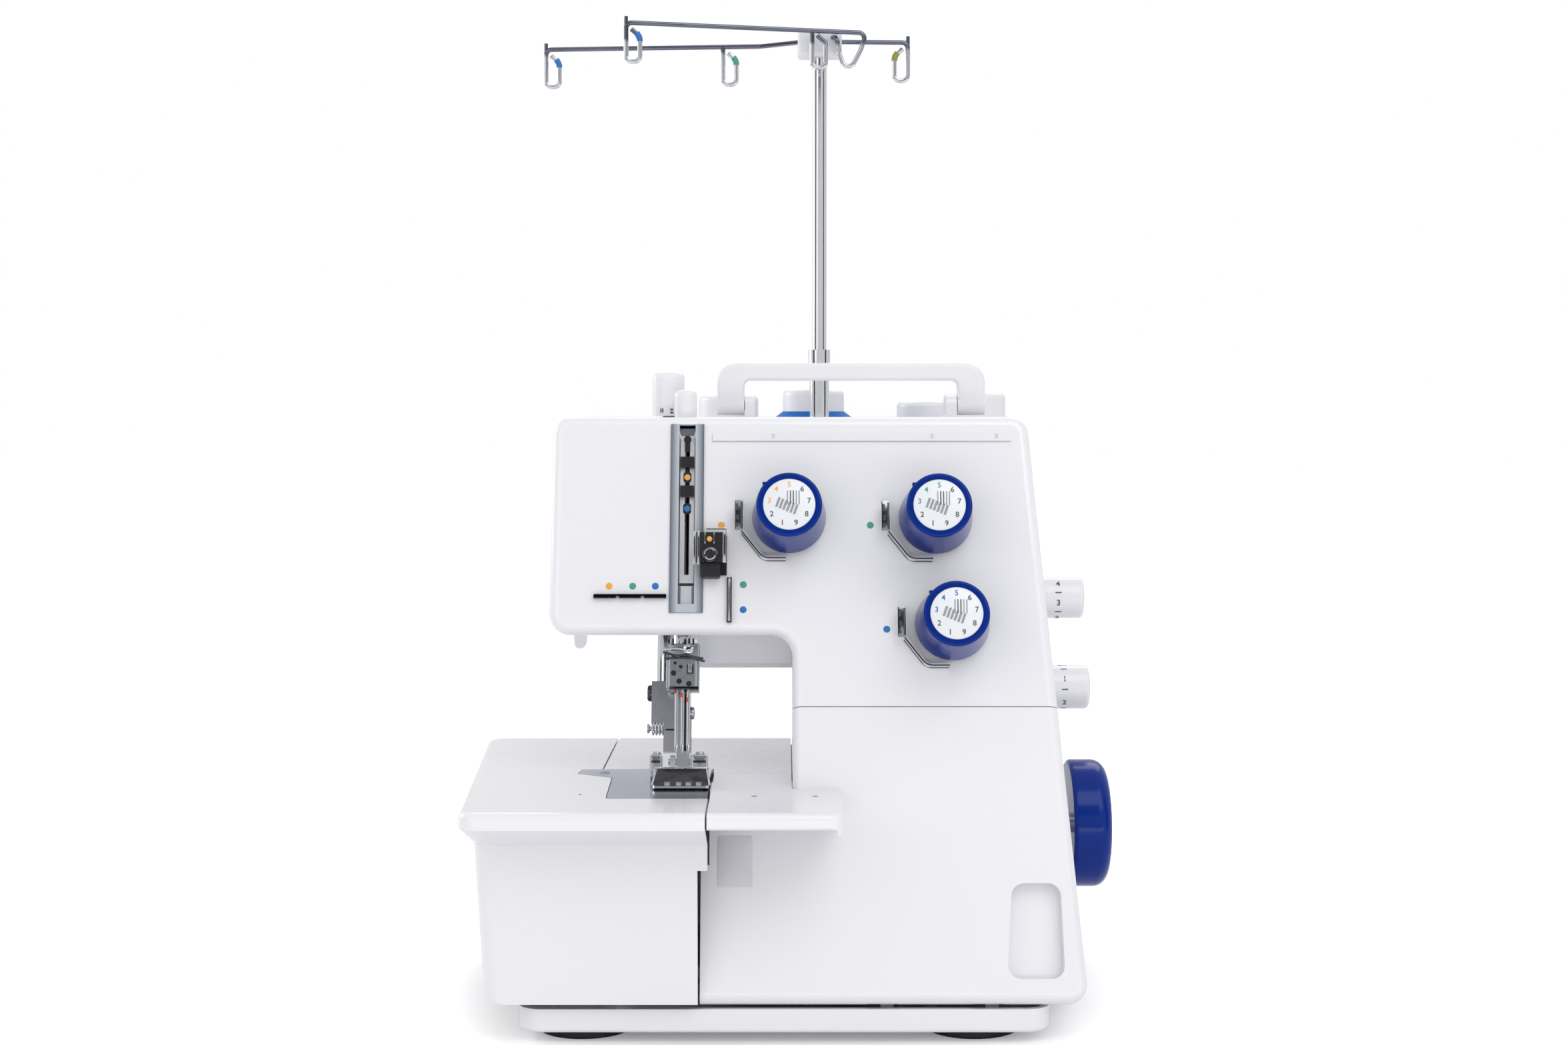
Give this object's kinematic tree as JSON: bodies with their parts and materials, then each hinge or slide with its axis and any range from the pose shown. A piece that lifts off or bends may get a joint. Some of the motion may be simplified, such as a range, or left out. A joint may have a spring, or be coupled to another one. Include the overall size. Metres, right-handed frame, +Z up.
{
  "type": "coverstitch sewing machine",
  "caption": "Domestic coverstitch sewing machine with tension dials, free bed with sliding table, swinging front cover, carry handle and telescopic thread stand with cones.",
  "frame": {"origin": "middle of the object's box on the floor plane under the feet", "axes": "+X to the handwheel, +Y to the back, +Z up"},
  "size_m": [0.3162, 0.3454, 0.4921],
  "materials": {
    "white_shell": "glossy moulded white",
    "white_trim": "satin moulded white",
    "navy": "glossy moulded navy",
    "chrome": "polished plate",
    "steel": "ground steel",
    "casting": "as cast",
    "bronze": "turned",
    "black": "fine matt",
    "rubber": "moulded black",
    "slot_grey": "satin grey",
    "thread_blue": "wound thread",
    "thread_white": "wound thread",
    "lens": "frosted lens",
    "motor_paint": "painted can"
  },
  "bodies": {
    "machine": {"front_panel": "white_shell", "rear_cover": "white_shell", "rear_bed": "white_shell", "needle_plate": "steel", "base_tray": "white_shell", "feet": "rubber", "main_frame": "casting", "shaft_bushes": "bronze", "motor": "motor_paint", "drive_belt": "black", "timing_belt": "black", "top_thread_guide": "white_trim", "takeup_frame": "slot_grey", "pretension_bracket": "black", "face_thread_guides": "chrome", "needle_bar_cap": "white_trim", "lamp": "lens", "tension_studs": "steel", "tension_discs": "chrome", "dial_thread_guides": "chrome", "power_inlet": "black", "spool_stand": "white_trim", "lower_pole": "chrome", "spool_pins": "steel", "cone_cores": "white_trim", "blue_thread": "thread_blue", "white_thread": "thread_white", "case_screws": "chrome"},
    "drive_shaft": {"main_shaft": "steel", "shaft_pulleys": "casting", "handwheel": "navy"},
    "motor_rotor": {"motor_armature": "steel", "motor_pulley": "casting"},
    "arm_drive": {"arm_shaft": "steel", "arm_pulley": "casting"},
    "needle_drive": {"needle_bar": "chrome", "needle_clamp": "steel", "needles": "chrome"},
    "takeup": {"takeup_lever": "chrome", "takeup_clips": "black"},
    "presser": {"presser_bar": "chrome", "foot_holder": "steel"},
    "foot": {"presser_foot": "chrome"},
    "lifter": {"presser_lifter": "white_trim"},
    "feed": {"feed_dog": "steel"},
    "looper_arm": {"looper": "steel"},
    "dial_left": {"tension_dial_left": "navy"},
    "dial_right": {"tension_dial_right": "navy"},
    "dial_lower": {"tension_dial_lower": "navy"},
    "length_knob": {"stitch_length_knob": "white_trim"},
    "ratio_knob": {"feed_ratio_knob": "white_trim"},
    "pressure_knob": {"pressure_dial": "white_trim"},
    "handle": {"carry_handle": "white_trim"},
    "switch": {"power_switch": "black"},
    "mast": {"upper_pole": "chrome"},
    "antenna": {"antenna_hub": "white_trim", "antenna_wires": "chrome"},
    "cover_carrier": {"cover_hinge_rod": "steel"},
    "cover": {"front_cover": "white_shell"},
    "table": {"extension_table": "white_shell"}
  },
  "joints": [
    {"name": "handwheel_turn", "type": "hinge", "parent": "machine", "child": "drive_shaft", "pos_m": [0.14874, -0.03775, 0.0818], "axis": [1, 0, 0], "continuous": true},
    {"name": "motor_turn", "type": "hinge", "parent": "machine", "child": "motor_rotor", "pos_m": [0.06474, -0.00775, 0.046], "axis": [1, 0, 0], "continuous": true},
    {"name": "arm_shaft_turn", "type": "hinge", "parent": "machine", "child": "arm_drive", "pos_m": [-0.00126, -0.04172, 0.2345], "axis": [1, 0, 0], "continuous": true},
    {"name": "needle_bar_slide", "type": "slide", "parent": "machine", "child": "needle_drive", "axis": [0, 0.2756, 0.9613], "range_m": [-0.026, 0]},
    {"name": "takeup_slide", "type": "slide", "parent": "machine", "child": "takeup", "axis": [0, 0.2756, 0.9613], "range_m": [-0.00936, 0]},
    {"name": "lifter_turn", "type": "hinge", "parent": "machine", "child": "lifter", "pos_m": [-0.07126, 0.04725, 0.2105], "axis": [0, 1, 0], "range_deg": [0, 40]},
    {"name": "presser_slide", "type": "slide", "parent": "machine", "child": "presser", "axis": [0, 0.2756, 0.9613], "range_m": [0, 0.006]},
    {"name": "foot_tilt", "type": "hinge", "parent": "presser", "child": "foot", "pos_m": [-0.04926, -0.08076, 0.1192], "axis": [1, 0, 0], "range_deg": [-7, 0]},
    {"name": "feed_slide", "type": "slide", "parent": "machine", "child": "feed", "axis": [0, 1, 0], "range_m": [-0.0015, 0.0015]},
    {"name": "looper_rock", "type": "hinge", "parent": "machine", "child": "looper_arm", "pos_m": [-0.06726, -0.10275, 0.066], "axis": [0, 1, 0], "range_deg": [-8, 8]},
    {"name": "tension_left_turn", "type": "hinge", "parent": "machine", "child": "dial_left", "pos_m": [0.00114, -0.09679, 0.24021], "axis": [0, -0.9613, 0.2756], "range_deg": [-140, 140]},
    {"name": "tension_right_turn", "type": "hinge", "parent": "machine", "child": "dial_right", "pos_m": [0.07034, -0.09688, 0.23991], "axis": [0, -0.9613, 0.2756], "range_deg": [-140, 140]},
    {"name": "tension_lower_turn", "type": "hinge", "parent": "machine", "child": "dial_lower", "pos_m": [0.07734, -0.11084, 0.19121], "axis": [0, -0.9613, 0.2756], "range_deg": [-140, 140]},
    {"name": "stitch_length_turn", "type": "hinge", "parent": "machine", "child": "length_knob", "pos_m": [0.12874, -0.00064, 0.1907], "axis": [1, 0, 0], "range_deg": [-120, 120]},
    {"name": "feed_ratio_turn", "type": "hinge", "parent": "machine", "child": "ratio_knob", "pos_m": [0.12874, -0.00064, 0.1447], "axis": [1, 0, 0], "range_deg": [-60, 60]},
    {"name": "pressure_turn", "type": "hinge", "parent": "machine", "child": "pressure_knob", "pos_m": [-0.05856, -0.02804, 0.29], "axis": [0, 0, 1], "range_deg": [-135, 135]},
    {"name": "handle_fold", "type": "hinge", "parent": "machine", "child": "handle", "pos_m": [0.03274, -0.00064, 0.2891], "axis": [1, 0, 0], "range_deg": [-75, 0]},
    {"name": "switch_rock", "type": "hinge", "parent": "machine", "child": "switch", "pos_m": [0.06774, 0.04275, 0.045], "axis": [1, 0, 0], "range_deg": [0, 14]},
    {"name": "mast_slide", "type": "slide", "parent": "machine", "child": "mast", "axis": [0, 0, 1], "range_m": [-0.1, 0]},
    {"name": "antenna_turn", "type": "hinge", "parent": "mast", "child": "antenna", "pos_m": [0.01774, 0.06025, 0.48], "axis": [0, 0, 1], "range_deg": [-90, 90]},
    {"name": "cover_slide", "type": "slide", "parent": "machine", "child": "cover_carrier", "axis": [1, 0, 0], "range_m": [0, 0.005]},
    {"name": "cover_swing", "type": "hinge", "parent": "cover_carrier", "child": "cover", "pos_m": [0.06974, -0.13317, 0.023], "axis": [1, 0, 0], "range_deg": [0, 70]},
    {"name": "table_slide", "type": "slide", "parent": "machine", "child": "table", "axis": [-1, 0, 0], "range_m": [0, 0.12]}
  ],
  "couplings": [
    {"joint": "motor_turn", "follows": "handwheel_turn", "ratio": 2.8889},
    {"joint": "arm_shaft_turn", "follows": "handwheel_turn", "ratio": 1},
    {"joint": "takeup_slide", "follows": "needle_bar_slide", "ratio": 0.36},
    {"joint": "lifter_turn", "follows": "presser_slide", "rad_per_m": 116.35}
  ]
}
